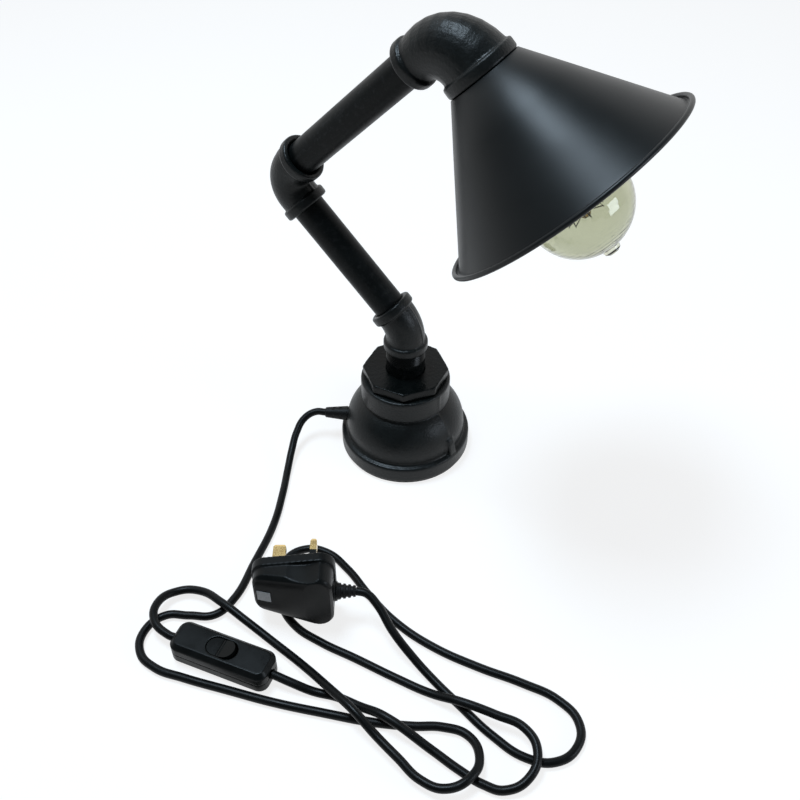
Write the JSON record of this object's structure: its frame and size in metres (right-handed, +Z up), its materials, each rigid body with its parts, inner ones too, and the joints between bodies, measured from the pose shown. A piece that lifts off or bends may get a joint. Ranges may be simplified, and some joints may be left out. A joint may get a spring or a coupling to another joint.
{
  "type": "table lamp",
  "caption": "Black table lamp built from cast pipe fittings, with a swivelling pipe arm, a conical shade, a filament bulb, and a flex with rocker switch and three-pin plug.",
  "frame": {"origin": "centre of the underside of the base, on the surface the lamp stands on", "axes": "+Z up; the plug and switch lie towards -Y; the lower pipe leans to a compass angle of 152 degrees from +X"},
  "size_m": [0.3081, 0.3221, 0.3163],
  "materials": {
    "casting": "satin black paint over cast texture",
    "pipe_paint": "satin black paint",
    "shade_paint": "matt black paint",
    "pad": "matt black",
    "soft_plastic": "satin black PVC",
    "hard_plastic": "satin black moulding",
    "label": "plain grey",
    "ceramic": "off-white insulator",
    "black_glass": "opaque black glass",
    "brass": "polished",
    "steel": "plain",
    "bulb_glass": "clear, faint amber green",
    "stem_glass": "amber"
  },
  "bodies": {
    "base": {"foot_pad": "pad", "base_reducer": "casting", "base_bush": "casting", "neck_nipple": "casting", "cord_boot": "soft_plastic", "flex_base": "soft_plastic", "cord_lead": "soft_plastic", "switch_bottom": "hard_plastic", "switch_top": "hard_plastic", "switch_screws": "steel", "cord_tail": "soft_plastic", "plug_body": "hard_plastic", "plug_boot": "soft_plastic", "plug_label": "label", "pin_earth": "brass", "pin_line": "brass", "pin_neutral": "brass", "sleeve_line": "hard_plastic", "sleeve_neutral": "hard_plastic", "fuse_carrier": "hard_plastic", "fuse_link": "ceramic"},
    "lower_arm": {"elbow_half": "casting", "lower_pipe": "pipe_paint", "flex_lower": "soft_plastic"},
    "upper_arm": {"elbow_square": "casting", "upper_pipe": "pipe_paint", "flex_upper": "soft_plastic"},
    "head": {"elbow_reducing": "casting", "holder_plug": "steel", "holder_stud": "steel", "shade": "shade_paint", "holder_cap": "hard_plastic", "holder_skirt": "hard_plastic", "holder_core": "ceramic", "holder_shell": "brass", "holder_contact": "brass", "flex_head": "soft_plastic", "bulb_contact": "steel", "bulb_insulator": "black_glass", "bulb_cap": "brass", "bulb_glass": "bulb_glass", "bulb_stem": "stem_glass", "bulb_hooks_low": "steel", "bulb_hooks_high": "steel", "bulb_filament": "steel"},
    "rocker": {"switch_rocker": "hard_plastic"}
  },
  "joints": [
    {"name": "base_swivel", "type": "hinge", "parent": "base", "child": "lower_arm", "pos_m": [0, 0, 0.1056], "axis": [0, 0, 1], "range_deg": [-120, 120]},
    {"name": "arm_swivel", "type": "hinge", "parent": "lower_arm", "child": "upper_arm", "pos_m": [-0.07792, 0.04143, 0.19385], "axis": [-0.6243, 0.332, 0.7071], "range_deg": [-60, 60]},
    {"name": "head_swivel", "type": "hinge", "parent": "upper_arm", "child": "head", "pos_m": [0.0226, -0.01202, 0.30769], "axis": [0.6243, -0.332, 0.7071], "range_deg": [-90, 90]},
    {"name": "switch_rocker", "type": "hinge", "parent": "base", "child": "rocker", "pos_m": [-0.1078, -0.1883, 0.0126], "axis": [0.3746, 0.9272, 0], "range_deg": [0, 16]}
  ]
}
